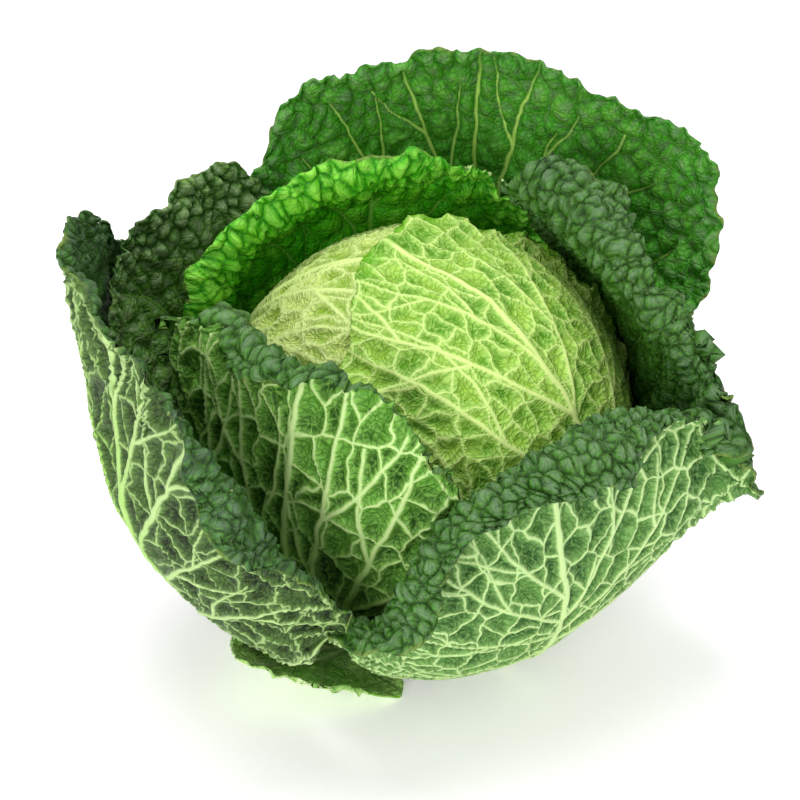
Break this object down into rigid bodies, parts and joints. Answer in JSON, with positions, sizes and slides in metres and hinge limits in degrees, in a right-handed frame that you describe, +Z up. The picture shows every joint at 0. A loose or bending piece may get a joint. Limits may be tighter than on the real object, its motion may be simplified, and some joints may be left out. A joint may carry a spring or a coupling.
{
  "type": "savoy cabbage",
  "caption": "Savoy cabbage standing on its cut stalk: a round head of wrapped, blistered leaves inside looser dark outer leaves with rolled margins and pale veins.",
  "frame": {"origin": "centre of the stalk's cut face, on the table", "axes": "+Z up, -Y towards the side the crown leans to, +X to the right as seen from there"},
  "size_m": [0.2846, 0.2432, 0.2346],
  "materials": {
    "stalk": "pale cut stalk, matte",
    "heart": "pale green packed leaves, satin",
    "head_leaf_back": "pale yellow-green, satin",
    "head_leaf_left": "yellow-green, satin",
    "head_leaf_front": "yellow-green with near-white veins, satin",
    "collar_leaf": "bright green, satin",
    "front_leaf": "dark green outside with pale veins, waxy",
    "right_leaf": "dark green with a blue-grey bloom, waxy",
    "left_back_leaf": "dark green, waxy",
    "right_low_leaf": "dark green, waxy",
    "left_leaf": "dark green outside with pale veins, waxy",
    "back_leaf": "dark green, waxy",
    "right_front_leaf": "dark green outside with near-white veins, waxy",
    "low_leaf": "dark green with pale veins, waxy"
  },
  "bodies": {
    "root": {"stalk": "stalk", "heart": "heart", "head_leaf_back": "head_leaf_back", "head_leaf_left": "head_leaf_left", "head_leaf_front": "head_leaf_front", "collar_leaf": "collar_leaf", "front_leaf": "front_leaf", "right_leaf": "right_leaf", "left_back_leaf": "left_back_leaf", "right_low_leaf": "right_low_leaf", "left_leaf": "left_leaf", "back_leaf": "back_leaf", "right_front_leaf": "right_front_leaf", "low_leaf": "low_leaf"}
  },
  "joints": []
}
